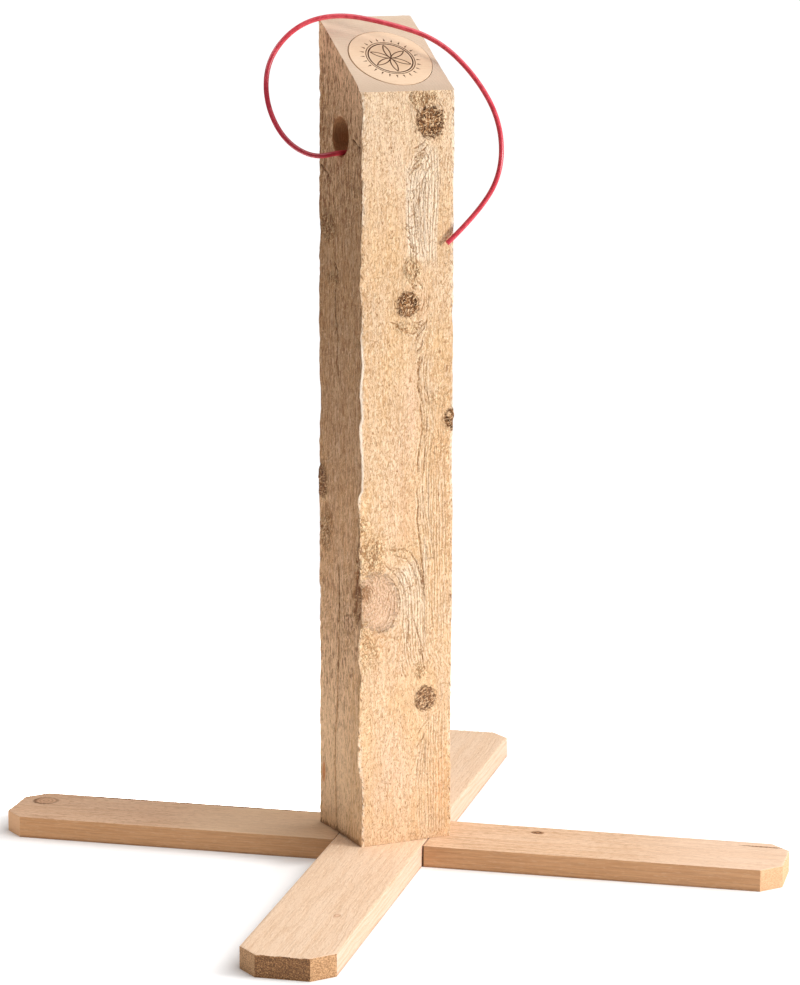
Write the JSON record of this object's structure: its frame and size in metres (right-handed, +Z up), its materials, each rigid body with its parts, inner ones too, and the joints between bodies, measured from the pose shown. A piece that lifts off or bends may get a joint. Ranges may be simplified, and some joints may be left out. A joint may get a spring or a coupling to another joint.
{
  "type": "cat scratching post",
  "caption": "Free-standing square timber post with a slanted top on a flat cross of two boards, with a round inset disc, a bore through the post and a springy cord.",
  "frame": {"origin": "on the floor, at the middle of the plan box of the post and its two base boards (the cord isn't counted)", "axes": "+Z up along the post; -Y is the front, the side where the slanted top is lowest; the bore through the post runs along X"},
  "size_m": [0.6688, 0.6687, 0.8568],
  "materials": {
    "rough_sawn_timber": "rough-sawn softwood with torn fibres, knots and drying cracks, no coating",
    "planed_board": "planed softwood, smooth and matt, crisp edges, no coating",
    "zinc_plated_steel": "zinc-plated wood screws",
    "disc_wood": "smooth plywood disc with a burnt-in ornament",
    "staple_steel": "bright drawn wire",
    "red_cord": "smooth red plastic, slightly glossy"
  },
  "bodies": {
    "root": {"scratching_post": "rough_sawn_timber", "base_board_left_right": "planed_board", "base_board_front_back": "planed_board", "base_screws": "zinc_plated_steel", "label_disc": "disc_wood", "cord_staple": "staple_steel", "play_cord": "red_cord"}
  },
  "joints": []
}
